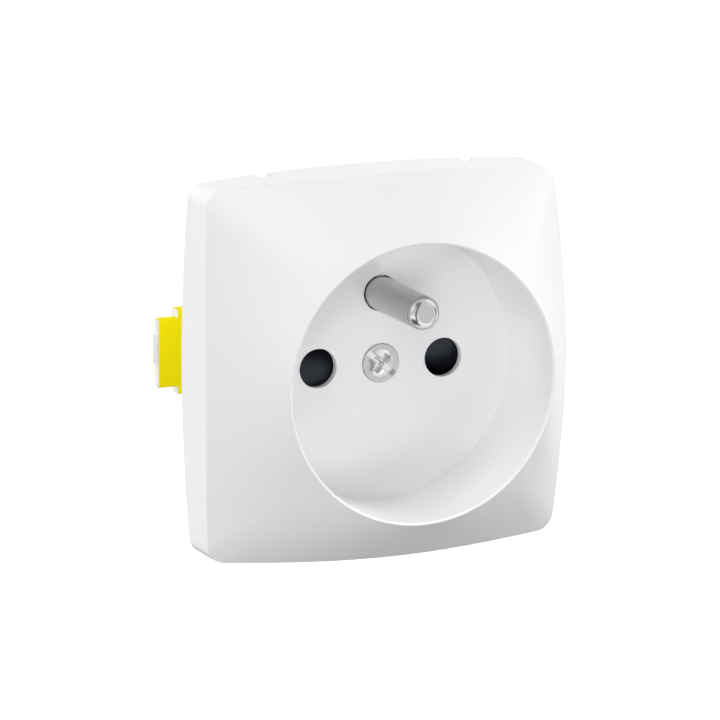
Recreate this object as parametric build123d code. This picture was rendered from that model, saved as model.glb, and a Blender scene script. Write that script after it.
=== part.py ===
"""Grounded wall socket: domed cover, round well, turning shutter, contacts and screw terminals.

Millimetres. The axis of the well runs along Y through the origin, the wall plane is y = 0,
the front of the socket looks along -Y and +Z is up.
"""
import os

from build123d import *

# Cover outline on the wall plane
side_half = 27.4
side_bow = 1.2
corner_round = 2.4
skin = 1.8
notch_offset = 15.4
notch_width = 1.8
notch_depth = 2.4

# Dome between the outline and the rim of the well
rim_y = -21.7
dome_foot_y = -5.0
dome_overhang = 2.4
dome_bow = 2.1
dome_round = 3.5
dome_skin = 2.1
rim_land = 0.05
rim_chamfer = 0.3
shoulder_fillet = 0.3

# Well and the holes of its floor
well_radius = 19.6
well_depth = 15.2
well_skin = 1.5
floor_skin = 1.1
pin_pitch = 19.0
hole_radius = 2.8
earth_offset = 10.0
earth_radius = 2.4
earth_length = 15.9

# Clearances
gap_loose = 0.3
gap_running = 0.05
gap_head = 0.05
gap_pin = 0.15
gap_stop = 0.1
gap_cut = 1.0

# Cover screw and its insert
screw_head_radius = 2.75
screw_head_depth = 2.35
screw_head_rise = 0.15
screw_head_round = 0.35
screw_cap_radius = 1.95
screw_cap_rise = 0.4
screw_radius = 1.45
screw_reach = 7.5
screw_slot_width = 0.85
screw_slot_depth = 0.8
screw_cross_length = 3.5
screw_cross_width = 1.1
screw_cross_depth = 0.5
screw_cross_tip = 0.3
screw_turn = -40.0
boss_radius = 4.1
boss_seat = 1.5
insert_radius = 2.3
insert_flange_radius = 3.2
insert_flange_depth = 0.5
insert_length = 6.0

# Shutter, which turns on the central post
shutter_gap = 0.5
shutter_depth = 6.5
hub_radius = 6.2
wing_radius = 13.0
wing_half_angle = 20.5
wing_lip = 0.8
ramp_land = 2.2
ramp_end = 4.7
arm_half_width = 1.2
arm_reach = 11.0
arm_depth = 3.0

# Shutter tray and the return spring
tray_wall = 0.8
tray_floor = 0.8
tray_ring_radius = 6.0
tray_ring_height = 0.6
stop_width = 2.2
stop_height = 3.6
stop_drop = 9.7
spring_seat_x = 8.4
spring_drop = 9.5
spring_radius = 1.2
spring_wire = 0.2
spring_wire_sides = 6
spring_pitch = 1.5

# Base housing
flange_thickness = 2.2
box_half_width = 19.5
box_top = 20.6
box_bottom = -23.4
box_back_y = 16.5
box_round = 3.0
box_edge = 0.8
chamber_back_y = 14.2
turret_half_width = 6.2
turret_top = 24.0
turret_back_y = 8.0
pocket_play = 0.4

# Current-carrying strip
strip = 0.8
strip_sink = 1.0
blade = 0.6
blade_pinch = 2.4
blade_flare = 0.9
blade_spread = 0.5
blade_height = 6.0
blade_length = 7.6
blade_lead = 1.8
tail_width = 4.6
strap_width = 5.2

# Earth pin behind the floor
pin_tip_round = 1.25
collar_radius = 2.7
collar_depth = 2.0
spigot_radius = 1.6
rivet_radius = 2.5
rivet_depth = 1.0

# Screw terminals
live_terminal_x = 11.5
live_terminal_z = -17.6
earth_terminal_z = 19.2
cage_width = 7.0
cage_height = 6.8
cage_wall = 1.0
cage_front_wall = 1.6
cage_room = 5.6
clamp_plate = 1.0
clamp_travel = 1.6
terminal_screw_radius = 1.7
terminal_head_radius = 2.7
terminal_head_depth = 1.9
terminal_head_lift = 0.4
terminal_slot_width = 0.9
terminal_slot_depth = 0.9
wire_radius = 2.1

# Side lugs and their sheet clips
lug_y = 11.0
lug_flange_x = 23.55
lug_tongue_x = 26.45
lug_flange_half = 6.1
lug_tongue_half = 4.95
lug_flange_depth = 2.2
lug_tongue_depth = 1.4
clip_sheet = 0.2
clip_bend = 0.3
barb_reach = 0.4
barb_low = -1.9
barb_high = 2.6
barb_taper = 0.6

# Depths that follow from the values above
dome_half = side_half + dome_overhang
rim_radius = well_radius + rim_chamfer + rim_land
floor_y = rim_y + well_depth
under_floor_y = floor_y + floor_skin
shutter_front_y = under_floor_y + shutter_gap
shutter_back_y = shutter_front_y + shutter_depth
tray_floor_y = shutter_back_y + tray_ring_height
deck_y = tray_floor_y + tray_floor
strip_front_y = deck_y + strip_sink
strip_back_y = strip_front_y + strip
head_front_y = floor_y - screw_head_rise
head_seat_y = head_front_y + screw_head_depth
boss_back_y = head_seat_y + boss_seat
post_front_y = boss_back_y + insert_flange_depth
hub_front_y = post_front_y + gap_loose
cage_back_y = strip_back_y + cage_wall
cage_room_y = strip_back_y - cage_room
cage_front_y = cage_room_y - cage_front_wall
clamp_y = cage_room_y + clamp_travel
wire_y = (clamp_y + clamp_plate + strip_front_y) / 2
blade_back_y = strip_back_y + blade_length
tray_radius = wing_radius + gap_loose + gap_stop + tray_wall
tray_room = tray_radius - tray_wall
pin_x = pin_pitch / 2
cage_half_width = cage_width / 2
cage_half_height = cage_height / 2
lug_core_y = lug_y + clip_sheet


def layer(y):
    """Drawing plane across the well's axis at depth y, seen from the front."""
    return Plane(origin=(0, y, 0), x_dir=(1, 0, 0), z_dir=(0, -1, 0))


def prism(outline, front, back):
    """Outline in X and Z carried from its front depth to its back depth."""
    return extrude(layer(back) * outline, amount=back - front)


def disc(radius, front, back, x=0.0, z=0.0):
    """Round bar along the well's axis, centred on x and z."""
    return prism(Pos(x, z) * Circle(radius), front, back)


def block(x0, x1, z0, z1, front, back):
    """Square-edged bar between two limits on each axis."""
    middle = Pos((x0 + x1) / 2, (z0 + z1) / 2)
    return prism(middle * Rectangle(abs(x1 - x0), abs(z1 - z0)), front, back)


def pillow(half, bow, corner):
    """Square outline whose sides bow outwards, with rounded corners."""
    end = half - bow
    side = ThreePointArc((-end, half - bow), (0, half), (end, half - bow))
    sides = [Rot(0, 0, quarter) * side for quarter in (0, -90, -180, -270)]
    face = make_face(sides)
    return fillet(face.vertices(), corner)


def split_circle(radius, outline):
    """Circle cut into arcs in the proportions of an outline's sides and corners."""
    lengths = sorted(edge.length for edge in outline.edges())
    corner_length = lengths[0]
    side_length = lengths[-1]
    corner_angle = 90 * corner_length / (corner_length + side_length)
    arcs = []
    for quarter in (0, 90, 180, 270):
        start = quarter + 45 - corner_angle / 2
        arcs.append(CenterArc((0, 0), radius, start, corner_angle))
        arcs.append(CenterArc((0, 0), radius, start + corner_angle, 90 - corner_angle))
    return make_face(arcs)


def dome(half, radius, foot_y, top_y):
    """Slopes that run from a pillow outline at the foot to a circle at the top."""
    foot = pillow(half, dome_bow, dome_round)
    top = split_circle(radius, foot)
    return loft([layer(foot_y) * foot, layer(top_y) * top])


def shoulder_edges(shell):
    """Edges where the upright sides of the cover meet the slopes of the dome."""
    low_y = 2 * (dome_foot_y - skin)
    level = shell.edges().filter_by(lambda edge: edge.bounding_box().size.Y < 2 * skin)
    return level.filter_by(lambda edge: low_y < edge.center().Y < dome_foot_y)


def front_cover():
    """Domed cover with the well, its floor and the boss for the cover screw."""
    outline = pillow(side_half, side_bow, corner_round)
    slopes = dome(dome_half, rim_radius, dome_foot_y, rim_y)
    shell = prism(outline, rim_y, dome_foot_y) & slopes
    shell += prism(outline, dome_foot_y, 0)
    shell = fillet(shoulder_edges(shell), shoulder_fillet)

    tube_radius = well_radius + well_skin
    slope = (dome_half - rim_radius) / (dome_foot_y - rim_y)
    hollow_top_y = dome_foot_y - (dome_half - dome_skin - tube_radius) / slope
    inner_outline = pillow(side_half - skin, side_bow, corner_round)
    inner_slopes = dome(dome_half - dome_skin, tube_radius, dome_foot_y, hollow_top_y)
    hollow = prism(inner_outline, hollow_top_y, dome_foot_y) & inner_slopes
    hollow += prism(inner_outline, dome_foot_y, 0)
    hollow -= disc(tube_radius, rim_y, under_floor_y)

    cover = shell - hollow - disc(well_radius, rim_y - gap_cut, floor_y)
    rim = cover.edges().filter_by(GeomType.CIRCLE).group_by(Axis.Y)[0].sort_by(SortBy.RADIUS)[0]
    cover = chamfer(rim, rim_chamfer)
    cover += disc(boss_radius, floor_y, boss_back_y)
    cover -= disc(screw_head_radius + gap_head, floor_y - gap_cut, head_seat_y)
    cover -= disc(screw_radius + gap_loose, floor_y, boss_back_y)
    for x in (-pin_x, pin_x):
        cover -= disc(hole_radius, floor_y - gap_cut, under_floor_y + gap_cut, x)
    cover -= disc(earth_radius + gap_pin, floor_y - gap_cut, boss_back_y, 0, earth_offset)
    for x in (-notch_offset, notch_offset):
        left = x - notch_width / 2
        cover -= block(left, left + notch_width, side_half - 2 * skin, side_half, -notch_depth, 0)
    return cover


def cover_screw():
    """Screw with a domed head, which has a slot and a cross and stands just proud of the well's floor."""
    screw = disc(screw_head_radius, head_front_y, head_seat_y)
    screw = fillet(screw.edges().group_by(Axis.Y)[0], screw_head_round)
    screw += disc(screw_radius, head_seat_y, head_seat_y + screw_reach)
    cap_front_y = head_front_y - screw_cap_rise
    cap_ball = (screw_cap_radius**2 + screw_cap_rise**2) / (2 * screw_cap_rise)
    cap = Pos(0, cap_front_y + cap_ball, 0) * Sphere(cap_ball)
    screw += cap & disc(screw_cap_radius, cap_front_y, head_front_y)
    slot = Rectangle(2 * screw_head_radius, screw_slot_width)
    screw -= prism(Rot(0, 0, screw_turn) * slot, cap_front_y, head_front_y + screw_slot_depth)
    cross_floor_y = head_front_y + screw_cross_depth
    for quarter in (0, 90):
        mouth = Rot(0, 0, screw_turn + quarter) * Rectangle(screw_cross_length, screw_cross_width)
        foot = scale(mouth, screw_cross_tip)
        screw -= loft([layer(cap_front_y) * mouth, layer(cross_floor_y) * foot], ruled=True)
    return screw


def screw_insert():
    """Flanged threaded bush in the central post."""
    insert = disc(insert_flange_radius, boss_back_y, post_front_y)
    insert += disc(insert_radius, post_front_y, post_front_y + insert_length)
    insert -= disc(screw_radius + gap_running, boss_back_y, post_front_y + insert_length)
    return insert


def shutter():
    """Turning shutter: a hub, two ramped wings over the holes and an arm for the spring."""
    reach = 2 * wing_radius
    ray = Line((0, 0), (reach, 0))
    low = Rot(0, 0, -wing_half_angle) * ray
    high = Rot(0, 0, wing_half_angle) * ray
    wedge = make_face([low, high, Line(low @ 1, high @ 1)])
    sector = (Circle(wing_radius) - Circle(boss_radius + gap_loose)) & wedge
    wing = prism(sector, shutter_front_y, shutter_back_y)
    wing -= disc(hub_radius, shutter_front_y, hub_front_y)
    foot_y = shutter_back_y - wing_lip
    start = (shutter_front_y, ramp_land)
    end = (foot_y, -ramp_end)
    ramp = TangentArc(start, end, tangent=(0, -1))
    ramp += Polyline(end, (shutter_front_y, -ramp_end), start)
    wing -= extrude(Plane.YZ * make_face(ramp), amount=reach)

    turned = disc(hub_radius, hub_front_y, shutter_back_y) + wing + Rot(0, 180, 0) * wing
    arm_front_y = shutter_back_y - arm_depth
    turned += block(-arm_half_width, arm_half_width, -arm_reach, 0, arm_front_y, shutter_back_y)
    return turned - disc(boss_radius + gap_running, shutter_front_y, shutter_back_y)


def shutter_tray():
    """Round tray behind the well's floor that carries the shutter, its stop and its spring seat."""
    tray = disc(tray_radius, shutter_front_y, deck_y) - disc(tray_room, shutter_front_y, tray_floor_y)
    tray += disc(tray_ring_radius, shutter_back_y, tray_floor_y)
    stop_x = -arm_half_width - gap_stop
    high = stop_height / 2 - stop_drop
    low = high - stop_height
    stops = block(stop_x - stop_width, stop_x, low, high, hub_front_y, tray_floor_y)
    stops += block(spring_seat_x, tray_radius, low, high, hub_front_y, tray_floor_y)
    tray += stops & disc(tray_radius, shutter_front_y, deck_y)
    tray -= disc(boss_radius + gap_loose, shutter_front_y, deck_y)
    for x in (-pin_x, pin_x):
        tray -= disc(hole_radius + gap_loose, shutter_front_y, deck_y, x)
    tray -= disc(collar_radius + gap_loose, shutter_front_y, deck_y, 0, earth_offset)
    return tray


def shutter_spring():
    """Coil with ground ends between the shutter's arm and the seat in the tray."""
    start = arm_half_width - spring_wire
    length = spring_seat_x - start + spring_wire
    axis_y = shutter_back_y - arm_depth / 2
    coil = Helix(spring_pitch, length, spring_radius, (start, axis_y, -spring_drop), (1, 0, 0))
    section = RegularPolygon(spring_wire, spring_wire_sides)
    wire = sweep(Plane(coil @ 0, z_dir=coil % 0) * section, path=coil, is_frenet=True)
    room = 2 * spring_radius
    low = -spring_drop - room
    high = -spring_drop + room
    return wire & block(arm_half_width, spring_seat_x, low, high, axis_y - room, axis_y + room)


def base_housing():
    """Base with its flange, central post, contact chambers, terminal pockets and side lugs."""
    flange_half = side_half - skin - gap_loose
    box_middle = Pos(0, (box_top + box_bottom) / 2)
    box = box_middle * RectangleRounded(2 * box_half_width, box_top - box_bottom, box_round)
    face_y = -flange_thickness
    base = prism(pillow(flange_half, side_bow, corner_round), face_y, 0)
    body = prism(box, face_y, box_back_y)
    base += fillet(body.edges().group_by(Axis.Y)[-1], box_edge)
    base += block(-turret_half_width, turret_half_width, 0, turret_top, face_y, turret_back_y)

    base -= disc(tray_radius + gap_loose, face_y, deck_y)
    base += disc(boss_radius, post_front_y, deck_y)
    base -= disc(insert_radius + gap_running, post_front_y, post_front_y + insert_length)

    chamber_half = blade_pinch + blade_flare + blade
    chamber_top = blade_height / 2 + pocket_play
    tail_half = tail_width / 2 + pocket_play
    pocket_width = cage_half_width + pocket_play
    pocket_height = cage_half_height + pocket_play
    pocket_top = live_terminal_z + pocket_height
    for side in (-1, 1):
        x = side * pin_x
        tail_x = side * live_terminal_x
        left = x - chamber_half
        right = x + chamber_half
        base -= block(left, right, -chamber_top - strip, chamber_top, deck_y, chamber_back_y)
        base -= block(tail_x - tail_half, tail_x + tail_half, pocket_top, 0, face_y, strip_back_y)
    earth_low = earth_offset - strap_width / 2 - pocket_play
    strap_half = strap_width / 2 + pocket_play
    base -= block(-strap_half, strap_half, earth_low, earth_terminal_z, face_y, strip_back_y)
    rivet_room_y = strip_back_y + 2 * rivet_depth
    base -= disc(rivet_radius + gap_loose, strip_back_y, rivet_room_y, 0, earth_offset)

    for x, z in terminal_spots.values():
        low = z - pocket_height
        high = z + pocket_height
        base -= block(x - pocket_width, x + pocket_width, low, high, face_y, cage_back_y)
        mouth = turret_top if z > 0 else box_bottom
        drill = Plane(origin=(x, wire_y, z)) * Circle(wire_radius)
        base -= extrude(drill, amount=mouth - z)

    flange_core = lug_flange_half - clip_sheet
    tongue_core = lug_tongue_half - clip_sheet
    tongue_back_y = lug_y + lug_tongue_depth
    for side in (-1, 1):
        root = side * (box_half_width - skin)
        shoulder = side * lug_flange_x
        end = side * lug_tongue_x
        tip = side * (lug_tongue_x + barb_reach)
        base += block(root, shoulder, -flange_core, flange_core, lug_core_y, lug_y + lug_flange_depth)
        base += block(root, end, -tongue_core, tongue_core, lug_core_y, tongue_back_y)
        barb = Polyline(
            (shoulder, barb_low),
            (end, barb_low),
            (tip, barb_low + barb_taper),
            (tip, barb_high),
            (shoulder, barb_high),
            close=True,
        )
        base += prism(make_face(barb), tongue_back_y - strip, tongue_back_y)
    return base


def folded(x0, x1, half, back):
    """Bar behind the lug's front plane whose two front edges are bent round."""
    bar = block(x0, x1, -half, half, lug_y, back)
    return fillet(bar.edges().filter_by(Axis.X).group_by(Axis.Y)[0], clip_bend)


def clip(side):
    """Yellow sheet clip folded over the front, top and bottom of a side lug."""
    root = side * box_half_width
    shoulder = side * lug_flange_x
    end = side * lug_tongue_x
    flange_back_y = lug_y + lug_flange_depth
    tongue_back_y = lug_y + lug_tongue_depth
    flange_core = lug_flange_half - clip_sheet
    tongue_core = lug_tongue_half - clip_sheet
    sheet = folded(root, shoulder, lug_flange_half, flange_back_y)
    sheet += folded(shoulder, end, lug_tongue_half, tongue_back_y)
    sheet -= block(root, shoulder, -flange_core, flange_core, lug_core_y, flange_back_y)
    sheet -= block(shoulder, end, -tongue_core, tongue_core, lug_core_y, tongue_back_y)
    return sheet


def earth_pin():
    """Earth pin with a rounded tip, a neck in the floor, a collar and a riveted end."""
    base_y = floor_y - gap_running
    pin = disc(earth_radius, floor_y - earth_length, base_y)
    pin = fillet(pin.edges().group_by(Axis.Y)[0], pin_tip_round)
    pin += disc(earth_radius - gap_loose, base_y, strip_front_y)
    pin += disc(earth_radius, shutter_front_y, strip_front_y)
    pin += disc(collar_radius, strip_front_y - collar_depth, strip_front_y)
    pin += disc(spigot_radius, strip_front_y, strip_back_y)
    pin += disc(rivet_radius, strip_back_y, strip_back_y + rivet_depth)
    return Pos(0, 0, earth_offset) * pin


def earth_strap():
    """Flat strip from the earth pin to its terminal."""
    half = strap_width / 2
    low = earth_offset - half
    tail_half = tail_width / 2
    waist = earth_terminal_z - cage_half_height
    top = earth_terminal_z + cage_half_height
    strap = block(-half, half, low, waist, strip_front_y, strip_back_y)
    strap += block(-tail_half, tail_half, waist, top, strip_front_y, strip_back_y)
    return strap - disc(spigot_radius + gap_running, strip_front_y, strip_back_y, 0, earth_offset)


def contact(side):
    """Folded contact: two sprung blades that grip a plug pin, a web and a tail to the terminal."""
    x = side * pin_x
    lip = blade_pinch + blade_flare
    pinch_y = strip_back_y + blade_lead
    line = Polyline(
        (lip, strip_back_y - blade),
        (blade_pinch, pinch_y),
        (blade_pinch + blade_spread, blade_back_y),
    )
    low = -blade_height / 2
    web_half = blade_pinch + blade_spread + blade / 2
    one_blade = Pos(0, 0, low) * extrude(trace(line, blade), amount=blade_height, dir=(0, 0, 1))
    grip = Pos(x, 0, 0) * (one_blade + mirror(one_blade, Plane.YZ))
    grip += block(x - web_half, x + web_half, low - strip, low, strip_front_y, blade_back_y)
    tail_x = side * live_terminal_x
    tail_half = tail_width / 2
    tail_end = live_terminal_z - cage_half_height
    grip += block(tail_x - tail_half, tail_x + tail_half, tail_end, low, strip_front_y, strip_back_y)
    return grip


def terminal_cage(x, z):
    """Rectangular cage open at both ends for the wire and the strip."""
    low = z - cage_half_height
    high = z + cage_half_height
    room = cage_half_width - cage_wall
    cage = block(x - cage_half_width, x + cage_half_width, low, high, cage_front_y, cage_back_y)
    cage -= block(x - room, x + room, low, high, cage_room_y, strip_back_y)
    return cage - disc(terminal_screw_radius + gap_running, cage_front_y, cage_room_y, x, z)


def clamp_plate_at(x, z):
    """Plate that the terminal screw presses on the wire."""
    room = cage_half_width - cage_wall
    half = cage_half_height - cage_wall
    return block(x - room, x + room, z - half, z + half, clamp_y, clamp_y + clamp_plate)


def terminal_screw(x, z):
    """Slotted screw through the front of a cage."""
    seat_y = cage_front_y - terminal_head_lift
    top_y = seat_y - terminal_head_depth
    screw = disc(terminal_head_radius, top_y, seat_y, x, z)
    screw += disc(terminal_screw_radius, seat_y, clamp_y, x, z)
    half = terminal_slot_width / 2
    left = x - terminal_head_radius
    right = x + terminal_head_radius
    return screw - block(left, right, z - half, z + half, top_y, top_y + terminal_slot_depth)


terminal_spots = {
    "line": (live_terminal_x, live_terminal_z),
    "neutral": (-live_terminal_x, live_terminal_z),
    "earth": (0, earth_terminal_z),
}

pieces = {
    "front_cover": front_cover(),
    "cover_screw": cover_screw(),
    "screw_insert": screw_insert(),
    "shutter": shutter(),
    "shutter_tray": shutter_tray(),
    "shutter_spring": shutter_spring(),
    "base_housing": base_housing(),
    "left_clip": clip(-1),
    "right_clip": clip(1),
    "earth_pin": earth_pin(),
    "earth_strap": earth_strap(),
    "line_contact": contact(1),
    "neutral_contact": contact(-1),
}
for name, (x, z) in terminal_spots.items():
    pieces[f"{name}_terminal_cage"] = terminal_cage(x, z)
    pieces[f"{name}_clamp_plate"] = clamp_plate_at(x, z)
    pieces[f"{name}_terminal_screw"] = terminal_screw(x, z)

os.makedirs("parts", exist_ok=True)
for name, piece in pieces.items():
    export_step(piece, f"parts/{name}.step")
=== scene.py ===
"""Grounded wall socket: finishes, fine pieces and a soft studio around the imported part.

Metres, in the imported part's frame: the well's axis runs along Y, the front looks along -Y
and +Z is up.
"""
import logging
import math
from dataclasses import dataclass
from enum import Enum
from typing import Any, Callable

import bpy
from mathutils import Matrix, Vector


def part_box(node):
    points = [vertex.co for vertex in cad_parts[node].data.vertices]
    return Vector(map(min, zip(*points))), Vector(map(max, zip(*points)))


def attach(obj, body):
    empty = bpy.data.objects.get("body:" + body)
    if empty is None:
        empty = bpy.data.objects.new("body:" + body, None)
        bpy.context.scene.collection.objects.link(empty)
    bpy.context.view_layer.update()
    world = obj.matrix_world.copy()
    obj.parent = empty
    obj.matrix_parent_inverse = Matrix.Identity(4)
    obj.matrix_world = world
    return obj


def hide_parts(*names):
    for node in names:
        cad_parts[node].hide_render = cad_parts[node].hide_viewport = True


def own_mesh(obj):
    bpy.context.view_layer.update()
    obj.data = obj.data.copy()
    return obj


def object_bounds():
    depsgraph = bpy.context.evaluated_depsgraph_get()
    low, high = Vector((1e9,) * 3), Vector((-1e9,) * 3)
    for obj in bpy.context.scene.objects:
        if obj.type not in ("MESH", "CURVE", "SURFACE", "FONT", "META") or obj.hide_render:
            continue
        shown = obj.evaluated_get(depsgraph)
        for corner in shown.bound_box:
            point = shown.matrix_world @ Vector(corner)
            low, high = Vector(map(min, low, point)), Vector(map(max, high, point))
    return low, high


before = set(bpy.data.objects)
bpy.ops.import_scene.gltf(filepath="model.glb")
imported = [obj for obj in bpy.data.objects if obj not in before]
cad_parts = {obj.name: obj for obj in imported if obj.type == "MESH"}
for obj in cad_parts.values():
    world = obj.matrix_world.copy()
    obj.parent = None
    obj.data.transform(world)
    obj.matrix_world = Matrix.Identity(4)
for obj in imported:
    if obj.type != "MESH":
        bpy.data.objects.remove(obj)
cad_low, cad_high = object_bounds()

log = logging.getLogger("wall_socket")

MM = 0.001
# Points closer than this are one point.
WELD = 0.001 * MM
# Least part of a unit normal along an axis for a face to count as square to it.
SQUARE_ON = 0.9
# Turn that stands a flat primitive up, so that it looks along -Y.
UPRIGHT = (math.pi / 2, 0.0, 0.0)
# Rays that a material follows to soften its edges.
EDGE_SAMPLES = 6
# Body that every new piece rides on: only the shutter itself turns.
FIXED_BODY = "socket"

Colour = tuple[float, float, float]
Span = tuple[float, float]
Socket = bpy.types.NodeSocket
Feed = float | tuple[float, ...] | Vector | Socket
Feeds = dict[str | int, Feed]
FaceTest = Callable[[bpy.types.MeshPolygon], bool]


class Slot(Enum):
    """Material slots that the part's record names."""

    WHITE_COVER = "white_cover"
    WHITE_BASE = "white_base"
    YELLOW_CLIP = "yellow_clip"
    DARK_SHUTTER = "dark_shutter"
    NICKEL_PIN = "nickel_pin"
    BRIGHT_SCREW = "bright_screw"
    CONTACT_BRASS = "contact_brass"
    ZINC_STEEL = "zinc_steel"
    SPRING_STEEL = "spring_steel"


class Ramp(Enum):
    """Ways for a number to go from its low to its high value."""

    STRAIGHT = "LINEAR"
    EASED = "SMOOTHSTEP"


def rgba(colour: Colour) -> tuple[float, float, float, float]:
    """Colour with nothing showing through."""
    return (*colour, 1.0)


def outward(azimuth: float, elevation: float) -> Vector:
    """Direction away from the part.

    Args:
        azimuth: Angle round the part in degrees, 0 in front and positive towards +X.
        elevation: Angle above the level in degrees.

    Returns:
        The direction, of length 1.
    """
    turn = math.radians(azimuth)
    rise = math.radians(elevation)
    level = math.cos(rise)
    return Vector((math.sin(turn) * level, -math.cos(turn) * level, math.sin(rise)))


class NodeSheet:
    """A node tree with short ways to add and link its nodes."""

    def __init__(self, tree: bpy.types.NodeTree) -> None:
        """Keep the tree that the nodes go into."""
        self.tree = tree

    @classmethod
    def of_material(cls, name: str) -> tuple[bpy.types.Material, "NodeSheet"]:
        """Make a material.

        Args:
            name: Name of the material.

        Returns:
            The material and the sheet of its nodes.
        """
        material = bpy.data.materials.new(name)
        material.use_nodes = True
        return material, cls(material.node_tree)

    @property
    def shader(self) -> bpy.types.NodeInputs:
        """Inputs of the material's Principled shader."""
        return self.tree.nodes["Principled BSDF"].inputs

    def feed(self, socket: Socket, value: Feed) -> None:
        """Give an input its value.

        Args:
            socket: Input of a node.
            value: Value to set, or output of a node to link.
        """
        if isinstance(value, Socket):
            self.tree.links.new(value, socket)
        else:
            socket.default_value = value

    def add(self, kind: str, inputs: Feeds | None = None, **settings: Any) -> bpy.types.Node:
        """Add one node.

        Args:
            kind: Type of the node, without its common prefix.
            inputs: Values, or outputs to link, by the name or place of the input.
            **settings: Properties of the node.

        Returns:
            The new node.
        """
        node = self.tree.nodes.new(f"ShaderNode{kind}")
        for name, value in settings.items():
            setattr(node, name, value)
        for key, value in (inputs or {}).items():
            self.feed(node.inputs[key], value)
        return node

    def maths(self, operation: str, first: Feed, second: Feed) -> Socket:
        """Result of one sum on two numbers or sockets."""
        return self.add("Math", {0: first, 1: second}, operation=operation).outputs[0]

    def ramp(
        self, value: Feed, span: Span, low: Feed = 0.0, high: Feed = 1.0, way: Ramp = Ramp.STRAIGHT
    ) -> Socket:
        """Number that goes from low to high as a value goes along a span.

        Args:
            value: Number or output to read.
            span: Values where the number leaves low and where it reaches high.
            low: Number before the span.
            high: Number after the span.
            way: Way that the number goes.

        Returns:
            Output with the number.
        """
        limits = {"From Min": span[0], "From Max": span[1], "To Min": low, "To Max": high}
        inputs = {"Value": value, **limits}
        return self.add("MapRange", inputs, interpolation_type=way.value).outputs[0]

    def between(self, share: Feed, low: Feed, high: Feed) -> Socket:
        """Number that goes from low to high as a share goes from 0 to 1."""
        return self.ramp(share, (0.0, 1.0), low, high)

    def blend(self, share: Feed, first: Feed, second: Feed) -> Socket:
        """Mix two colours.

        Args:
            share: 0 for the first colour and 1 for the second.
            first: First colour.
            second: Second colour.

        Returns:
            Output with the mixed colour.
        """
        node = self.add("Mix", data_type="RGBA")
        for name, value in {"Factor": share, "A": first, "B": second}.items():
            self.feed(next(s for s in node.inputs if s.name == name and s.enabled), value)
        return next(s for s in node.outputs if s.enabled)

    def place(self, centre: Vector) -> Socket:
        """Place on the piece, measured from a centre."""
        coordinates = self.add("TexCoord").outputs["Object"]
        return self.add("Mapping", {"Vector": coordinates, "Location": -centre}).outputs[0]

    def effect(
        self, group: bpy.types.NodeTree, place: Socket, amount: float
    ) -> bpy.types.NodeOutputs:
        """Outputs of a shared effect at a place, with its one number set to an amount per metre."""
        return self.add("Group", {0: place, 1: amount}, node_tree=group).outputs

    def show(self, shader: Socket) -> None:
        """Lead a shader to the material's surface in place of the Principled one."""
        self.tree.nodes.remove(self.tree.nodes["Principled BSDF"])
        self.feed(self.tree.nodes["Material Output"].inputs["Surface"], shader)


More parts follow.
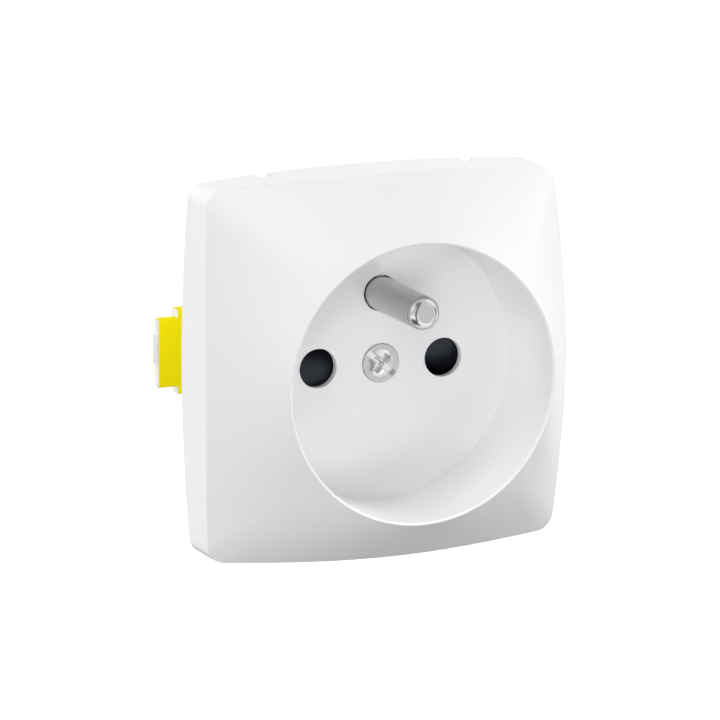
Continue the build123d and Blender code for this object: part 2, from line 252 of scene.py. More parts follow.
class SurfaceEffects:
    """Node groups that several finishes share."""

    GRAIN_NOISE: dict[str, float] = {"Detail": 3.0, "Roughness": 0.6}
    DRIFT_NOISE: dict[str, float] = {"Scale": 60.0, "Detail": 2.0}
    RING_NOISE: dict[str, float] = {"Detail": 4.0, "Roughness": 0.7}
    RING_MARKS: Span = (0.35, 0.65)
    HAZE_NOISE: dict[str, float] = {"Detail": 4.0}
    HAZE_EDGES: Span = (0.3, 0.7)

    def __init__(self) -> None:
        """Build each group once."""
        self.grain = self._grain()
        self.turning = self._turning()
        self.handling = self._handling()

    @staticmethod
    def _group(
        name: str, number: str, outputs: list[str]
    ) -> tuple[NodeSheet, bpy.types.NodeOutputs, bpy.types.NodeInputs]:
        """Start a group that reads a place and one number and gives numbers.

        Args:
            name: Name of the group.
            number: Name of the number that it reads.
            outputs: Names of the numbers that it gives.

        Returns:
            The group's sheet, the sockets with what it reads and the sockets for what it gives.
        """
        tree = bpy.data.node_groups.new(name, "ShaderNodeTree")
        tree.interface.new_socket("Place", in_out="INPUT", socket_type="NodeSocketVector")
        tree.interface.new_socket(number, in_out="INPUT", socket_type="NodeSocketFloat")
        for label in outputs:
            tree.interface.new_socket(label, in_out="OUTPUT", socket_type="NodeSocketFloat")
        source = tree.nodes.new("NodeGroupInput")
        sink = tree.nodes.new("NodeGroupOutput")
        return NodeSheet(tree), source.outputs, sink.inputs

    def _grain(self) -> bpy.types.NodeTree:
        """Fine grain that a spark-eroded mould leaves, with a slow drift of tone.

        Returns:
            The node group.
        """
        sheet, given, wanted = self._group("MouldedGrain", "Grains per metre", ["Height", "Tone"])
        grains = {"Vector": given["Place"], "Scale": given["Grains per metre"]}
        grain = sheet.add("TexNoise", {**grains, **self.GRAIN_NOISE})
        drift = sheet.add("TexNoise", {"Vector": given["Place"], **self.DRIFT_NOISE})
        sheet.feed(wanted["Height"], grain.outputs["Fac"])
        sheet.feed(wanted["Tone"], drift.outputs["Fac"])
        return sheet.tree

    def _turning(self) -> bpy.types.NodeTree:
        """Rings that a lathe tool leaves round an axis along Y.

        Returns:
            The node group.
        """
        sheet, given, wanted = self._group("TurnedRings", "Rings per metre", ["Height", "Mark"])
        parts = sheet.add("SeparateXYZ", {0: given["Place"]}).outputs
        across = sheet.add("CombineXYZ", {"X": parts["X"], "Y": parts["Z"]}).outputs[0]
        radius = sheet.add("VectorMath", {0: across}, operation="LENGTH").outputs["Value"]
        along = sheet.maths("ADD", parts["Y"], radius)
        rings = {"W": along, "Scale": given["Rings per metre"], **self.RING_NOISE}
        ring = sheet.add("TexNoise", rings, noise_dimensions="1D").outputs["Fac"]
        sheet.feed(wanted["Height"], ring)
        sheet.feed(wanted["Mark"], sheet.ramp(ring, self.RING_MARKS))
        return sheet.tree

    def _handling(self) -> bpy.types.NodeTree:
        """Faint uneven haze that handling leaves on a surface.

        Returns:
            The node group.
        """
        sheet, given, wanted = self._group("HandlingHaze", "Patches per metre", ["Haze"])
        patches = {"Vector": given["Place"], "Scale": given["Patches per metre"]}
        noise = sheet.add("TexNoise", {**patches, **self.HAZE_NOISE}).outputs["Fac"]
        sheet.feed(wanted["Haze"], sheet.ramp(noise, self.HAZE_EDGES))
        return sheet.tree


@dataclass(frozen=True)
class Finish:
    """What every finish has: how rough it is, from and to, and how soft its edges are."""

    roughness: Span
    edge_radius: float

    def material(self, name: str, effects: SurfaceEffects, centre: Vector) -> bpy.types.Material:
        """Make a material with this finish.

        Args:
            name: Name of the material.
            effects: Shared node groups.
            centre: Point that the patterns are measured from.

        Returns:
            The finished material.
        """
        material, sheet = NodeSheet.of_material(name)
        self.paint(sheet, effects, sheet.place(centre))
        return material

    def paint(self, sheet: NodeSheet, effects: SurfaceEffects, place: Socket) -> None:
        """Lead the colour, roughness and relief of a finish to its shader.

        Args:
            sheet: Sheet of the material.
            effects: Shared node groups.
            place: Output with the place on the piece.

        Raises:
            NotImplementedError: Each kind of finish has its own way.
        """
        raise NotImplementedError

    def relief(self, sheet: NodeSheet, height: Socket, depth: float) -> None:
        """Lead a height to the shader's normal over softened edges.

        Args:
            sheet: Sheet of the material.
            height: Output with the height, from 0 to 1.
            depth: Depth of the relief in metres.
        """
        edges = sheet.add("Bevel", {"Radius": self.edge_radius}, samples=EDGE_SAMPLES).outputs[0]
        bumps = {"Strength": 1.0, "Distance": depth, "Height": height, "Normal": edges}
        sheet.feed(sheet.shader["Normal"], sheet.add("Bump", bumps).outputs[0])


@dataclass(frozen=True)
class MouldedPlastic(Finish):
    """Injection-moulded plastic: fine grain, a slow drift of tone and uneven gloss."""

    pale: Colour
    full: Colour
    grain_size: float
    grain_depth: float
    shine: float = 0.5
    shine_tint: Colour = (1.0, 1.0, 1.0)
    patches_per_metre: float = 140.0

    def paint(self, sheet: NodeSheet, effects: SurfaceEffects, place: Socket) -> None:
        """Lead grain, tone and haze to the shader.

        Args:
            sheet: Sheet of the material.
            effects: Shared node groups.
            place: Output with the place on the piece.
        """
        grain = sheet.effect(effects.grain, place, 1.0 / self.grain_size)
        haze = sheet.effect(effects.handling, place, self.patches_per_metre)["Haze"]
        tone = sheet.blend(grain["Tone"], rgba(self.pale), rgba(self.full))
        sheet.feed(sheet.shader["Base Color"], tone)
        sheet.feed(sheet.shader["Roughness"], sheet.between(haze, *self.roughness))
        sheet.feed(sheet.shader["Specular IOR Level"], self.shine)
        sheet.feed(sheet.shader["Specular Tint"], rgba(self.shine_tint))
        self.relief(sheet, grain["Height"], self.grain_depth)


@dataclass(frozen=True)
class TurnedMetal(Finish):
    """Turned and plated metal: rings round an axis along Y, behind a polished front."""

    colour: Colour
    ring_size: float
    ring_depth: float
    polished_to: float
    polished_roughness: float
    polish_fade: float = 0.6 * MM
    mark_shade: float = 0.93
    patches_per_metre: float = 500.0

    def paint(self, sheet: NodeSheet, effects: SurfaceEffects, place: Socket) -> None:
        """Lead rings, polish and haze to the shader.

        Args:
            sheet: Sheet of the material.
            effects: Shared node groups.
            place: Output with the place, measured from a point on the axis.
        """
        rings = sheet.effect(effects.turning, place, 1.0 / self.ring_size)
        haze = sheet.effect(effects.handling, place, self.patches_per_metre)["Haze"]
        depth = sheet.add("SeparateXYZ", {0: place}).outputs["Y"]
        fade = (self.polished_to, self.polished_to + self.polish_fade)
        satin = sheet.ramp(depth, fade, way=Ramp.EASED)
        shade = tuple(self.mark_shade * part for part in self.colour)
        marked = sheet.blend(rings["Mark"], rgba(self.colour), rgba(shade))
        sheet.feed(sheet.shader["Base Color"], marked)
        hazed = sheet.between(haze, *self.roughness)
        sheet.feed(sheet.shader["Roughness"], sheet.between(satin, self.polished_roughness, hazed))
        sheet.feed(sheet.shader["Metallic"], 1.0)
        self.relief(sheet, sheet.maths("MULTIPLY", rings["Height"], satin), self.ring_depth)


@dataclass(frozen=True)
class RolledMetal(Finish):
    """Rolled strip or drawn wire: lines along X and a tarnish that varies in patches."""

    colour: Colour
    tarnish: Colour
    line_size: float
    line_depth: float
    line_stretch: float = 20.0
    patches_per_metre: float = 300.0

    def paint(self, sheet: NodeSheet, effects: SurfaceEffects, place: Socket) -> None:
        """Lead lines and tarnish to the shader.

        Args:
            sheet: Sheet of the material.
            effects: Shared node groups.
            place: Output with the place on the piece.
        """
        drawn = {"Vector": place, "Scale": (1.0 / self.line_stretch, 1.0, 1.0)}
        stretched = sheet.add("Mapping", drawn).outputs[0]
        lines = sheet.effect(effects.grain, stretched, 1.0 / self.line_size)
        haze = sheet.effect(effects.handling, place, self.patches_per_metre)["Haze"]
        tarnished = sheet.blend(haze, rgba(self.colour), rgba(self.tarnish))
        sheet.feed(sheet.shader["Base Color"], tarnished)
        sheet.feed(sheet.shader["Roughness"], sheet.between(lines["Height"], *self.roughness))
        sheet.feed(sheet.shader["Metallic"], 1.0)
        self.relief(sheet, lines["Height"], self.line_depth)


FINISHES: dict[Slot, Finish] = {
    Slot.WHITE_COVER: MouldedPlastic(
        roughness=(0.42, 0.5),
        edge_radius=0.12 * MM,
        pale=(0.94, 0.94, 0.94),
        full=(0.93, 0.93, 0.93),
        grain_size=0.22 * MM,
        grain_depth=0.0016 * MM,
    ),
    Slot.WHITE_BASE: MouldedPlastic(
        roughness=(0.46, 0.58),
        edge_radius=0.12 * MM,
        pale=(0.93, 0.93, 0.925),
        full=(0.91, 0.91, 0.905),
        grain_size=0.3 * MM,
        grain_depth=0.003 * MM,
    ),
    Slot.YELLOW_CLIP: MouldedPlastic(
        roughness=(0.5, 0.6),
        edge_radius=0.04 * MM,
        pale=(0.96, 0.82, 0.0),
        full=(0.93, 0.79, 0.0),
        grain_size=0.16 * MM,
        grain_depth=0.002 * MM,
        shine=0.1,
    ),
    Slot.DARK_SHUTTER: MouldedPlastic(
        roughness=(0.3, 0.33),
        edge_radius=0.15 * MM,
        pale=(0.018, 0.02, 0.026),
        full=(0.016, 0.018, 0.024),
        grain_size=0.25 * MM,
        grain_depth=0.002 * MM,
        shine=0.3,
        shine_tint=(0.8, 0.9, 1.0),
    ),
    Slot.NICKEL_PIN: TurnedMetal(
        roughness=(0.29, 0.36),
        edge_radius=0.1 * MM,
        colour=(0.55, 0.54, 0.545),
        ring_size=0.12 * MM,
        ring_depth=0.0012 * MM,
        polished_to=1.25 * MM,
        polished_roughness=0.18,
    ),
    Slot.BRIGHT_SCREW: TurnedMetal(
        roughness=(0.28, 0.34),
        edge_radius=0.06 * MM,
        colour=(0.79, 0.785, 0.78),
        ring_size=0.15 * MM,
        ring_depth=0.001 * MM,
        polished_to=0.2 * MM,
        polished_roughness=0.2,
    ),
    Slot.CONTACT_BRASS: RolledMetal(
        roughness=(0.24, 0.36),
        edge_radius=0.06 * MM,
        colour=(0.76, 0.55, 0.24),
        tarnish=(0.66, 0.45, 0.18),
        line_size=0.08 * MM,
        line_depth=0.0015 * MM,
    ),
    Slot.ZINC_STEEL: RolledMetal(
        roughness=(0.3, 0.46),
        edge_radius=0.1 * MM,
        colour=(0.6, 0.61, 0.63),
        tarnish=(0.5, 0.5, 0.5),
        line_size=0.14 * MM,
        line_depth=0.002 * MM,
    ),
    Slot.SPRING_STEEL: RolledMetal(
        roughness=(0.2, 0.3),
        edge_radius=0.03 * MM,
        colour=(0.5, 0.5, 0.5),
        tarnish=(0.42, 0.41, 0.4),
        line_size=0.05 * MM,
        line_depth=0.0006 * MM,
    ),
}


class Workbench:
    """The few ways of working on a mesh that the pieces share."""

    @staticmethod
    def clear() -> None:
        """Leave edit mode and deselect everything."""
        if bpy.context.mode != "OBJECT":
            bpy.ops.object.mode_set(mode="OBJECT")
        bpy.ops.object.select_all(action="DESELECT")

    @staticmethod
    def pick(piece: bpy.types.Object) -> None:
        """Make one piece the only one selected.

        Args:
            piece: Piece to work on next.
        """
        Workbench.clear()
        piece.select_set(True)
        bpy.context.view_layer.objects.active = piece

    @staticmethod
    def settle() -> None:
        """Put the selected piece's place, turn and scale into its mesh."""
        bpy.ops.object.transform_apply(location=True, rotation=True, scale=True)

    @staticmethod
    def weld() -> None:
        """Merge the double points of the mesh in edit mode."""
        bpy.ops.mesh.select_all(action="SELECT")
        bpy.ops.mesh.remove_doubles(threshold=WELD)

    @staticmethod
    def turn_outwards() -> None:
        """Make the faces of the mesh in edit mode look outwards, and leave edit mode."""
        bpy.ops.mesh.select_all(action="SELECT")
        bpy.ops.mesh.normals_make_consistent(inside=False)
        bpy.ops.object.mode_set(mode="OBJECT")

    @staticmethod
    def lathe(name: str, profile: list[Span], steps: int) -> bpy.types.Object:
        """Turn a profile round the Y axis.

        Args:
            name: Name of the piece.
            profile: Radius and depth of each corner, from the axis round to the axis.
            steps: Flats of the turned surface.

        Returns:
            The turned piece.
        """
        Workbench.clear()
        radius, depth = profile[0]
        bpy.ops.mesh.primitive_plane_add(size=MM, location=(0.0, 0.0, 0.0))
        piece = bpy.context.object
        piece.name = name
        bpy.ops.object.mode_set(mode="EDIT")
        bpy.ops.mesh.merge(type="CENTER")
        bpy.ops.transform.translate(value=(radius, depth, 0.0))
        for (r0, y0), (r1, y1) in zip(profile, profile[1:]):
            move = (r1 - r0, y1 - y0, 0.0)
            bpy.ops.mesh.extrude_vertices_move(TRANSFORM_OT_translate={"value": move})
        bpy.ops.mesh.select_all(action="SELECT")
        bpy.ops.mesh.spin(
            steps=steps, angle=2 * math.pi, center=(0.0, 0.0, 0.0), axis=(0.0, 1.0, 0.0)
        )
        Workbench.weld()
        Workbench.turn_outwards()
        return piece

    @staticmethod
    def cut(piece: bpy.types.Object, cutter: bpy.types.Object) -> None:
        """Take a cutter's shape out of a piece and remove the cutter.

        Args:
            piece: Piece to cut.
            cutter: Closed shape to take out of it.
        """
        Workbench.pick(piece)
        modifier = piece.modifiers.new("cut", "BOOLEAN")
        modifier.object = cutter
        modifier.operation = "DIFFERENCE"
        modifier.solver = "EXACT"
        bpy.ops.object.modifier_apply(modifier=modifier.name)
        bpy.data.objects.remove(cutter)

    @staticmethod
    def smooth(piece: bpy.types.Object, crease: float) -> None:
        """Shade a piece smooth, with sharp edges past an angle in degrees."""
        Workbench.pick(piece)
        bpy.ops.object.shade_smooth_by_angle(angle=math.radians(crease))

    @staticmethod
    def hand_over(piece: bpy.types.Object, slot: Slot, node: str) -> None:
        """Let a new piece stand for a node of the part.

        Args:
            piece: New piece.
            slot: Not used.
            node: Node that it replaces.
        """
        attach(piece, FIXED_BODY)
        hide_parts(node)
        log.info("modelled %s for %s: %d faces", piece.name, node, len(piece.data.polygons))


@dataclass
class Dressing:
    """Puts finishes on pieces, with a material of its own for each piece."""

    effects: SurfaceEffects

    def dress(self, piece: bpy.types.Object, slot: Slot, centre: Vector | None = None) -> None:
        """Give a piece its finish.

        Args:
            piece: Node of the part or new piece.
            slot: Slot that names the finish.
            centre: Point that the finish is measured from, the origin if none is given.
        """
        name = f"{slot.value}_{piece.name}"
        material = FINISHES[slot].material(name, self.effects, centre or Vector())
        piece.data.materials.clear()
        piece.data.materials.append(material)
        log.info("dressed %s in %s", piece.name, slot.value)

    def dress_node(self, node: str, slot: Slot, centre: Vector | None = None) -> None:
        """Give a node of the part its finish."""
        self.dress(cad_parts[node], slot, centre)

    def dress_faces(self, piece: bpy.types.Object, slot: Slot, chosen: FaceTest) -> None:
        """Give some faces of a piece a finish of their own.

        Args:
            piece: Piece that has its own finish already.
            slot: Slot that names the second finish.
            chosen: Test that is true for the faces that get it.
        """
        name = f"{slot.value}_{piece.name}_faces"
        material = FINISHES[slot].material(name, self.effects, Vector())
        piece.data.materials.append(material)
        for face in piece.data.polygons:
            face.material_index = int(chosen(face))


@dataclass
class CoverAssembly:
    """Domed cover with the screw that holds it."""

    head_radius: float = 2.75 * MM
    head_depth: float = 2.35 * MM
    head_round: float = 0.12 * MM
    cap_radius: float = 1.95 * MM
    cap_rise: float = 0.4 * MM
    # Least part of a unit normal along -Y for a face to count as the ring round the cap, which
    # takes the darker pin metal as painted shade.
    painted_shade_ring_lean: float = 0.3
    shank_radius: float = 1.45 * MM
    shank_length: float = 7.5 * MM
    shank_chamfer: float = 0.12 * MM
    # A groove's tip is the share of its size that is left at its floor. Turns are in degrees.
    slot_reach: float = 2.6 * MM
    slot_width: float = 0.85 * MM
    slot_depth: float = 0.8 * MM
    slot_tip: float = 1.0
    slot_turn: float = 40.0
    cross_reach: float = 1.6 * MM
    cross_width: float = 1.1 * MM
    cross_depth: float = 1.5 * MM
    cross_tip: float = 0.3
    arm_depth: float = 0.55 * MM
    arm_tip: float = 0.75
    arm_turn: float = 90.0
    turned_steps: int = 96
    arc_steps: int = 8
    crease: float = 20.0

    def build(self, dressing: Dressing) -> None:
        """Dress the cover and its insert, and make the screw.

        Args:
            dressing: What puts the finishes on.
        """
        dressing.dress_node("front_cover", Slot.WHITE_COVER)
        dressing.dress_node("screw_insert", Slot.CONTACT_BRASS)
        _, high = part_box("cover_screw")
        front = high.y - self.shank_length - self.head_depth - self.cap_rise
        screw = self._screw(front, high.y)
        dressing.dress(screw, Slot.BRIGHT_SCREW, Vector((0.0, front, 0.0)))
        # Painted shade: the ring round the cap takes the darker pin metal, though the whole screw
        # is one plated metal.
        dressing.dress_faces(screw, Slot.NICKEL_PIN, self._is_painted_shade_ring)
        Workbench.hand_over(screw, Slot.BRIGHT_SCREW, "cover_screw")

    def _is_painted_shade_ring(self, face: bpy.types.MeshPolygon) -> bool:
        """True for a face of the plain ring round the cap, which is painted darker as painted
        shade.
        """
        radius = math.hypot(face.center.x, face.center.z)
        return face.normal.y < -self.painted_shade_ring_lean and radius > self.cap_radius

    def _screw(self, front: float, back: float) -> bpy.types.Object:
        """Turn the screw and cut its slot and cross.

        Args:
            front: Depth of the top of the cap.
            back: Depth of the shank's end.

        Returns:
            The finished screw.
        """
        ledge = front + self.cap_rise
        seat = ledge + self.head_depth
        ball = (self.cap_radius**2 + self.cap_rise**2) / (2 * self.cap_rise)
        shoulder = self.head_radius - self.head_round
        profile = [
            *self._arc((0.0, front), ball, math.asin(self.cap_radius / ball)),
            *self._arc((shoulder, ledge), self.head_round, math.pi / 2),
            (self.head_radius, seat),
            (self.shank_radius, seat),
            (self.shank_radius, back - self.shank_chamfer),
            (self.shank_radius - self.shank_chamfer, back),
            (0.0, back),
        ]
        screw = Workbench.lathe("cover_screw_turned", profile, self.turned_steps)
        slot_size = (self.slot_reach, self.slot_width)
        slot_run = (front - self.cap_rise, ledge + self.slot_depth)
        cross_size = (self.cross_reach, self.cross_width)
        cross_run = (front, ledge + self.cross_depth)
        arm_run = (front, ledge + self.arm_depth)
        grooves = (
            (slot_size, slot_run, self.slot_turn, self.slot_tip),
            (cross_size, cross_run, self.slot_turn, self.cross_tip),
            (cross_size, arm_run, self.slot_turn + self.arm_turn, self.arm_tip),
        )
        for size, run, turn, tip in grooves:
            Workbench.cut(screw, self._groove(size, run, turn, tip))
        Workbench.smooth(screw, self.crease)
        return screw

    def _arc(self, start: Span, radius: float, spread: float) -> list[Span]:
        """Corners of a profile's arc that starts square to the axis and bends towards the back.

        Args:
            start: Radius and depth of the first corner.
            radius: Radius of the arc itself.
            spread: Angle of the arc in radians.

        Returns:
            Radius and depth of each corner.
        """
        out, depth = start
        angles = [spread * step / self.arc_steps for step in range(self.arc_steps + 1)]
        return [(out + radius * math.sin(a), depth + radius * (1 - math.cos(a))) for a in angles]

    def _groove(self, size: Span, run: Span, turn: float, tip: float) -> bpy.types.Object:
        """Bar that cuts one groove across the screw's head.

        Args:
            size: Half the length of the groove, and its width.
            run: Depths of the groove's mouth and floor.
            turn: Angle of the groove about the screw's axis, in degrees.
            tip: Share of the size that is left at the floor.

        Returns:
            The bar.
        """
        Workbench.clear()
        reach, width = size
        mouth, floor = run
        bpy.ops.mesh.primitive_cube_add(size=1.0, location=(0.0, (mouth + floor) / 2, 0.0))
        bar = bpy.context.object
        bar.scale = (2 * reach, floor - mouth, width)
        Workbench.settle()
        bpy.ops.object.mode_set(mode="EDIT")
        bpy.ops.mesh.select_all(action="DESELECT")
        bpy.ops.object.mode_set(mode="OBJECT")
        for face in bar.data.polygons:
            face.select = face.normal.y > SQUARE_ON
        bpy.ops.object.mode_set(mode="EDIT")
        bpy.ops.transform.resize(value=(tip, 1.0, tip), center_override=(0.0, floor, 0.0))
        bpy.ops.object.mode_set(mode="OBJECT")
        bar.matrix_world = Matrix.Rotation(math.radians(turn), 4, "Y") @ bar.matrix_world
        Workbench.settle()
        return bar


@dataclass
class ShutterAssembly:
    """Turning shutter with its tray and the spring that turns it back."""

    wire_radius: float = 0.2 * MM
    wire_sides: int = 8
    coil_pitch: float = 1.5 * MM
    coil_steps: int = 20
    # Share of the spring's length that is left when the shutter is open.
    squeezed: float = 0.11
    crease: float = 50.0

    def build(self, dressing: Dressing) -> None:
        """Dress the shutter and its tray, and wind the spring.

        Args:
            dressing: What puts the finishes on.
        """
        dressing.dress_node("shutter", Slot.DARK_SHUTTER)
        dressing.dress_node("shutter_tray", Slot.DARK_SHUTTER)
        spring = self._spring()
        dressing.dress(spring, Slot.SPRING_STEEL)
        Workbench.hand_over(spring, Slot.SPRING_STEEL, "shutter_spring")
        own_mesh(spring)

    def _spring(self) -> bpy.types.Object:
        """Wind the spring that lies between the shutter's arm and its seat.

        Returns:
            The wound spring.
        """
        Workbench.clear()
        low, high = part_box("shutter_spring")
        wire = self.wire_radius
        run = high.x - low.x - 2 * wire
        turns = round(run / self.coil_pitch)
        place = (low.x + wire, 0.0, (high.z - low.z) / 2 - wire)
        bpy.ops.mesh.primitive_circle_add(
            vertices=self.wire_sides, radius=wire, location=place, rotation=UPRIGHT
        )
        spring = bpy.context.object
        spring.name = "shutter_spring_coil"
        Workbench.settle()
        coil = spring.modifiers.new("coil", "SCREW")
        coil.axis = "X"
        coil.screw_offset = run / turns
        coil.iterations = turns
        coil.steps = self.coil_steps
        coil.render_steps = self.coil_steps
        bpy.ops.object.modifier_apply(modifier=coil.name)
        bpy.ops.object.mode_set(mode="EDIT")
        Workbench.weld()
        bpy.ops.mesh.fill_holes(sides=self.wire_sides)
        bpy.ops.mesh.select_all(action="SELECT")
        bpy.ops.transform.translate(value=(0.0, (low.y + high.y) / 2, (low.z + high.z) / 2))
        Workbench.turn_outwards()
        Workbench.smooth(spring, self.crease)
        return spring


@dataclass
class BaseAssembly:
    """Base housing with the yellow sheet clips over its side lugs."""

    flange_reach: float = 4.05 * MM
    flange_depth: float = 2.2 * MM
    tongue_half: float = 4.95 * MM
    tongue_depth: float = 1.4 * MM
    sheet: float = 0.2 * MM
    bend: float = 0.3 * MM
    bend_steps: int = 4
    crease: float = 35.0

    def build(self, dressing: Dressing) -> None:
        """Dress the base and fold one clip for each side.

        Args:
            dressing: What puts the finishes on.
        """
        dressing.dress_node("base_housing", Slot.WHITE_BASE)
        left = self._left_clip()
        right = self._right_clip(left)
        for piece, node in ((left, "left_clip"), (right, "right_clip")):
            dressing.dress(piece, Slot.YELLOW_CLIP)
            dressing.dress_faces(piece, Slot.WHITE_BASE, self._is_cut_end)
            Workbench.hand_over(piece, Slot.YELLOW_CLIP, node)

    @staticmethod
    def _is_cut_end(face: bpy.types.MeshPolygon) -> bool:
        """True for a face that looks along X."""
        return abs(face.normal.x) > SQUARE_ON

    def _left_clip(self) -> bpy.types.Object:
        """Fold the left clip: a high flange beside the base and a lower tongue.

        Returns:
            The folded clip.
        """
        low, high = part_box("left_clip")
        shoulder = high.x - self.flange_reach
        clip = self._channel((shoulder, high.x), high.z, low.y, self.flange_depth)
        tongue = self._channel((low.x, shoulder), self.tongue_half, low.y, self.tongue_depth)
        Workbench.pick(clip)
        tongue.select_set(True)
        bpy.ops.object.join()
        clip.name = "left_clip_sheet"
        Workbench.smooth(clip, self.crease)
        return clip

    @staticmethod
    def _right_clip(left: bpy.types.Object) -> bpy.types.Object:
        """Copy the left clip as its mirror image.

        Args:
            left: The left clip.

        Returns:
            The right clip, with a mesh of its own.
        """
        right = left.copy()
        right.data = left.data.copy()
        right.name = "right_clip_sheet"
        bpy.context.scene.collection.objects.link(right)
        Workbench.pick(right)
        right.scale.x = -1.0
        Workbench.settle()
        bpy.ops.object.mode_set(mode="EDIT")
        Workbench.turn_outwards()
        return right

    @staticmethod
    def _select_lines(piece: bpy.types.Object, lines: list[Span]) -> None:
        """Select the edges that lie on lines along X.

        Args:
            piece: Piece in edit mode.
            lines: Depth and height of each line.
        """
        bpy.ops.mesh.select_mode(type="EDGE")
        bpy.ops.mesh.select_all(action="DESELECT")
        bpy.ops.object.mode_set(mode="OBJECT")
        points = piece.data.vertices
        for edge in piece.data.edges:
            ends = [points[index].co for index in edge.vertices]
            on_line = (all(math.dist((p.y, p.z), line) < WELD for p in ends) for line in lines)
            edge.select = any(on_line)
        bpy.ops.object.mode_set(mode="EDIT")

    def _channel(self, reach: Span, half: float, front: float, depth: float) -> bpy.types.Object:
        """Fold a strip of sheet into a front with a wall behind its top and bottom edges.

        Args:
            reach: Left and right end of the strip.
            half: Half the height of the front.
            front: Depth of the front.
            depth: Depth of the walls.

        Returns:
            The folded strip.
        """
        Workbench.clear()
        left, right = reach
        middle = ((left + right) / 2, front, 0.0)
        bpy.ops.mesh.primitive_plane_add(size=1.0, location=middle, rotation=UPRIGHT)
        channel = bpy.context.object
        channel.scale = (right - left, 2 * half, 1.0)
        Workbench.settle()
        bpy.ops.object.mode_set(mode="EDIT")
        folds = [(front, -half), (front, half)]
        for fold in folds:
            self._select_lines(channel, [fold])
            bpy.ops.mesh.extrude_edges_move(TRANSFORM_OT_translate={"value": (0.0, depth, 0.0)})
        self._select_lines(channel, folds)
        bpy.ops.mesh.bevel(offset=self.bend, segments=self.bend_steps, affect="EDGES")
        Workbench.weld()
        Workbench.turn_outwards()
        solidify = channel.modifiers.new("sheet", "SOLIDIFY")
        solidify.thickness = self.sheet
        solidify.offset = -1.0
        solidify.use_even_offset = True
        Workbench.pick(channel)
        bpy.ops.object.modifier_apply(modifier=solidify.name)
        return channel


@dataclass
class EarthAssembly:
    """Earth pin and the strap that joins it to its terminal."""

    def build(self, dressing: Dressing) -> None:
        """Dress the pin and its strap.

        Args:
            dressing: What puts the finishes on.
        """
        low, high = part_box("earth_pin")
        tip = Vector(((low.x + high.x) / 2, low.y, (low.z + high.z) / 2))
        dressing.dress_node("earth_pin", Slot.NICKEL_PIN, tip)
        dressing.dress_node("earth_strap", Slot.CONTACT_BRASS)


@dataclass
class ContactAssembly:
    """Contacts of the two poles and the three screw terminals."""

    poles: tuple[str, ...] = ("line", "neutral")
    terminals: tuple[str, ...] = ("line", "neutral", "earth")

    def build(self, dressing: Dressing) -> None:
        """Dress the contacts, cages, clamp plates and terminal screws.

        Args:
            dressing: What puts the finishes on.
        """
        for pole in self.poles:
            dressing.dress_node(f"{pole}_contact", Slot.CONTACT_BRASS)
        for terminal in self.terminals:
            dressing.dress_node(f"{terminal}_terminal_cage", Slot.CONTACT_BRASS)
            dressing.dress_node(f"{terminal}_clamp_plate", Slot.ZINC_STEEL)
            dressing.dress_node(f"{terminal}_terminal_screw", Slot.ZINC_STEEL)


@dataclass(frozen=True)
class Hanging:
    """Something flat that hangs round the part and faces it, with its angles in degrees."""

    name: str
    azimuth: float
    elevation: float
    size: Span

    def facing(self, distance: float) -> Matrix:
        """Find the place where it hangs.

        Args:
            distance: Distance from the frame's origin in metres.

        Returns:
            The place, with the turn that faces the part.
        """
        away = outward(self.azimuth, self.elevation)
        turn = away.to_track_quat("Z", "Y").to_matrix().to_4x4()
        return Matrix.Translation(away * distance) @ turn


@dataclass(frozen=True)
class Softbox(Hanging):
    """A soft lamp, with its size in metres and its power in watts."""

    power: float
    distance: float = 0.8

    def hang(self) -> None:
        """Hang the lamp, out of sight of the camera and of reflections."""
        data = bpy.data.lights.new(self.name, "AREA")
        data.shape = "RECTANGLE"
        data.size, data.size_y = self.size
        data.energy = self.power
        lamp = bpy.data.objects.new(self.name, data)
        lamp.matrix_world = self.facing(self.distance)
        lamp.visible_camera = False
        lamp.visible_glossy = False
        bpy.context.scene.collection.objects.link(lamp)


@dataclass(frozen=True)
class Card(Hanging):
    """A pale or dark card that only shows in reflections, with its size in degrees."""

    glow: float
    distance: float = 0.25

    def hang(self) -> None:
        """Hang the card, out of sight of the camera and with no light on the part."""
        Workbench.clear()
        bpy.ops.mesh.primitive_plane_add(size=1.0)
        card = bpy.context.object
        card.name = self.name
        halves = [math.radians(angle) / 2 for angle in self.size]
        width, height = (2 * self.distance * math.tan(half) for half in halves)
        card.matrix_world = self.facing(self.distance) @ Matrix.Diagonal((width, height, 1.0, 1.0))
        card.visible_camera = False
        card.visible_diffuse = False
        card.visible_shadow = False
        material, sheet = NodeSheet.of_material(self.name)
        sheet.show(sheet.add("Emission", {"Strength": self.glow}).outputs[0])
        card.data.materials.append(material)


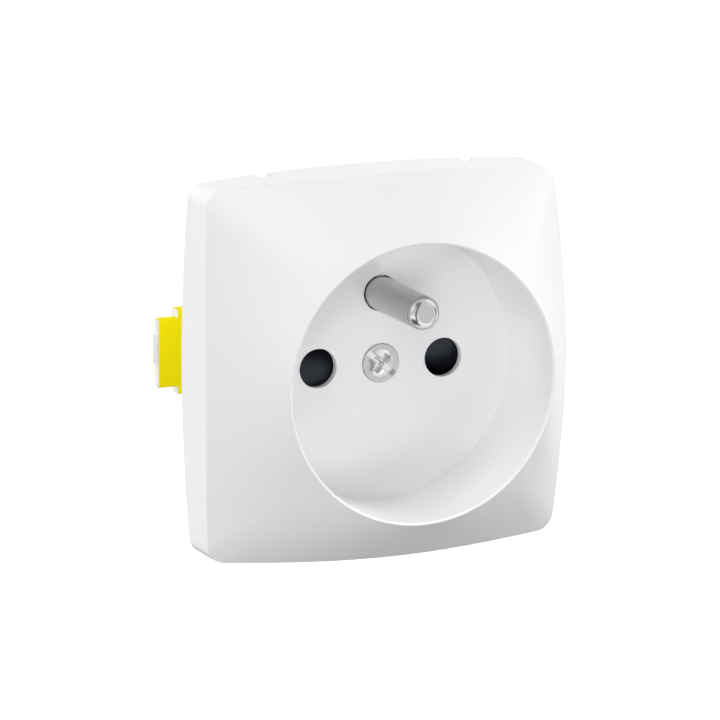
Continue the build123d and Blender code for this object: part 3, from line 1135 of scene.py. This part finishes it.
@dataclass
class Studio:
    """Pale floor, soft light all round and the camera."""

    # The camera's angles in degrees, the point that it looks at and its sideways shift from there.
    azimuth: float = -23.101
    elevation: float = 12.367
    distance: float = 1000.0 * MM
    target: Vector = Vector((0.0, -6.5 * MM, 0.0))
    shift_right: float = -2.892 * MM
    shift_up: float = 0.395 * MM
    sensor: float = 36.0
    lens: float = 357.35
    clip: Span = (0.05, 50.0)
    floor_drop: float = 200.0 * MM
    floor_size: float = 12.0
    # Where it is seen, the floor's glow rises across the shadow's reach.
    # Its bounce lights the part.
    floor_seen: Colour = (0.8, 0.8, 0.8)
    floor_lift: Span = (0.45, 1.0)
    shadow_reach: Span = (0.2, 0.6)
    floor_bounce: Colour = (0.15, 0.15, 0.15)
    # Strength of the sky where it lights the part, and where it shows as background.
    sky: Span = (0.03, 1.0)
    sky_colour: Colour = (1.0, 1.0, 1.0)
    softboxes: tuple[Softbox, ...] = (
        Softbox("front", -23.0, 6.0, (0.5, 0.4), 1.42),
        Softbox("front_left", -45.0, 4.0, (0.3, 0.3), 0.2),
        Softbox("far_left", -68.0, 0.0, (0.25, 0.25), 0.94),
        Softbox("left_back", -135.0, 15.0, (0.5, 0.5), 3.8),
        Softbox("low_front_left", -42.0, -16.0, (0.19, 0.12), 0.38, distance=0.5),
        Softbox("low_front_right", 20.0, -19.0, (0.19, 0.12), 0.32, distance=0.5),
        Softbox("upper_left", -42.0, 42.0, (0.4, 0.4), 0.52),
        Softbox("right", 60.0, 7.0, (0.5, 0.4), 2.7),
        Softbox("right_back", 115.0, 15.0, (0.5, 0.5), 1.8),
        Softbox("top", 20.0, 70.0, (0.4, 0.4), 2.95),
        Softbox("rear_left", -160.0, 45.0, (0.5, 0.4), 0.9),
        Softbox("rear_right", 155.0, 20.0, (0.5, 0.4), 0.8),
    )
    cards: tuple[Card, ...] = (
        Card("dark_below", 150.0, -48.0, (80.0, 50.0), 0.1, distance=0.15),
        Card("grey_front", 23.0, -13.0, (18.0, 18.0), 0.98),
        Card("dark_strip", -10.0, 10.0, (22.0, 84.0), 0.3),
        Card("dark_low_left", -42.0, -50.0, (56.0, 44.0), 0.15),
        Card("dark_upper_left", -28.0, 44.0, (24.0, 30.0), 0.32),
        Card("dark_right", 52.0, -13.0, (18.0, 42.0), 0.42),
        Card("pale_left", -85.0, 30.0, (68.0, 38.0), 1.4),
        Card("pale_right", 60.0, 32.0, (42.0, 46.0), 1.45),
        Card("pale_low_right", 40.0, -52.0, (30.0, 38.0), 1.42),
    )

    def build(self) -> None:
        """Set up the floor, the light and the camera."""
        bpy.context.scene.view_settings.view_transform = "Standard"
        self._floor()
        self._sky()
        for hanging in (*self.softboxes, *self.cards):
            hanging.hang()
        self._camera()
        counts = (len(self.softboxes), len(self.cards))
        log.info("studio ready with %d softboxes and %d cards", *counts)

    @staticmethod
    def _shows_background(sheet: NodeSheet) -> Socket:
        """Tell the rays that show the background from those that light the part.

        Args:
            sheet: Sheet of a material or of the world.

        Returns:
            Output that is 1 for the first kind of ray and 0 for the second.
        """
        path = sheet.add("LightPath").outputs
        seen = sheet.maths("MAXIMUM", path["Is Camera Ray"], path["Is Glossy Ray"])
        return sheet.maths("MAXIMUM", seen, path["Is Transmission Ray"])

    def _floor(self) -> None:
        """Lay the pale floor below the part."""
        Workbench.clear()
        level = cad_low.z - self.floor_drop
        bpy.ops.mesh.primitive_plane_add(size=self.floor_size, location=(0.0, 0.0, level))
        floor = bpy.context.object
        floor.name = "studio_floor"
        material, sheet = NodeSheet.of_material("studio_floor")
        pale = sheet.add("BsdfDiffuse", {"Color": rgba(self.floor_seen)}).outputs[0]
        place = sheet.add("TexCoord").outputs["Object"]
        away = sheet.add("VectorMath", {0: place}, operation="LENGTH").outputs["Value"]
        strength = sheet.ramp(away, self.shadow_reach, *self.floor_lift, way=Ramp.EASED)
        lift = sheet.add("Emission", {"Strength": strength}).outputs[0]
        seen = sheet.add("AddShader", {0: pale, 1: lift}).outputs[0]
        bounce = sheet.add("BsdfDiffuse", {"Color": rgba(self.floor_bounce)}).outputs[0]
        choice = self._shows_background(sheet)
        sheet.show(sheet.add("MixShader", {0: choice, 1: bounce, 2: seen}).outputs[0])
        floor.data.materials.append(material)

    def _sky(self) -> None:
        """Light the part evenly from all round, white where the background shows."""
        world = bpy.data.worlds.new("studio_sky")
        bpy.context.scene.world = world
        world.use_nodes = True
        sheet = NodeSheet(world.node_tree)
        background = world.node_tree.nodes["Background"].inputs
        sheet.feed(background["Color"], rgba(self.sky_colour))
        sheet.feed(background["Strength"], sheet.between(self._shows_background(sheet), *self.sky))

    def _camera(self) -> None:
        """Place the camera at the photograph's viewing angle."""
        turn = math.radians(self.azimuth)
        back = outward(self.azimuth, self.elevation)
        right = Vector((math.cos(turn), math.sin(turn), 0.0))
        up = back.cross(right)
        data = bpy.data.cameras.new("photo_camera")
        data.sensor_width = self.sensor
        data.lens = self.lens
        data.clip_start, data.clip_end = self.clip
        camera = bpy.data.objects.new("photo_camera", data)
        place = self.target + back * self.distance + right * self.shift_right + up * self.shift_up
        axes = Matrix((right, up, back)).transposed()
        camera.matrix_world = Matrix.Translation(place) @ axes.to_4x4()
        bpy.context.scene.collection.objects.link(camera)
        bpy.context.scene.camera = camera


def main() -> None:
    """Build the studio and every sub-assembly in order."""
    logging.basicConfig(level=logging.INFO, format="%(name)s: %(message)s")
    Studio().build()
    dressing = Dressing(SurfaceEffects())
    assemblies = (
        CoverAssembly(),
        ShutterAssembly(),
        BaseAssembly(),
        EarthAssembly(),
        ContactAssembly(),
    )
    for assembly in assemblies:
        assembly.build(dressing)


if __name__ == "__main__":
    main()
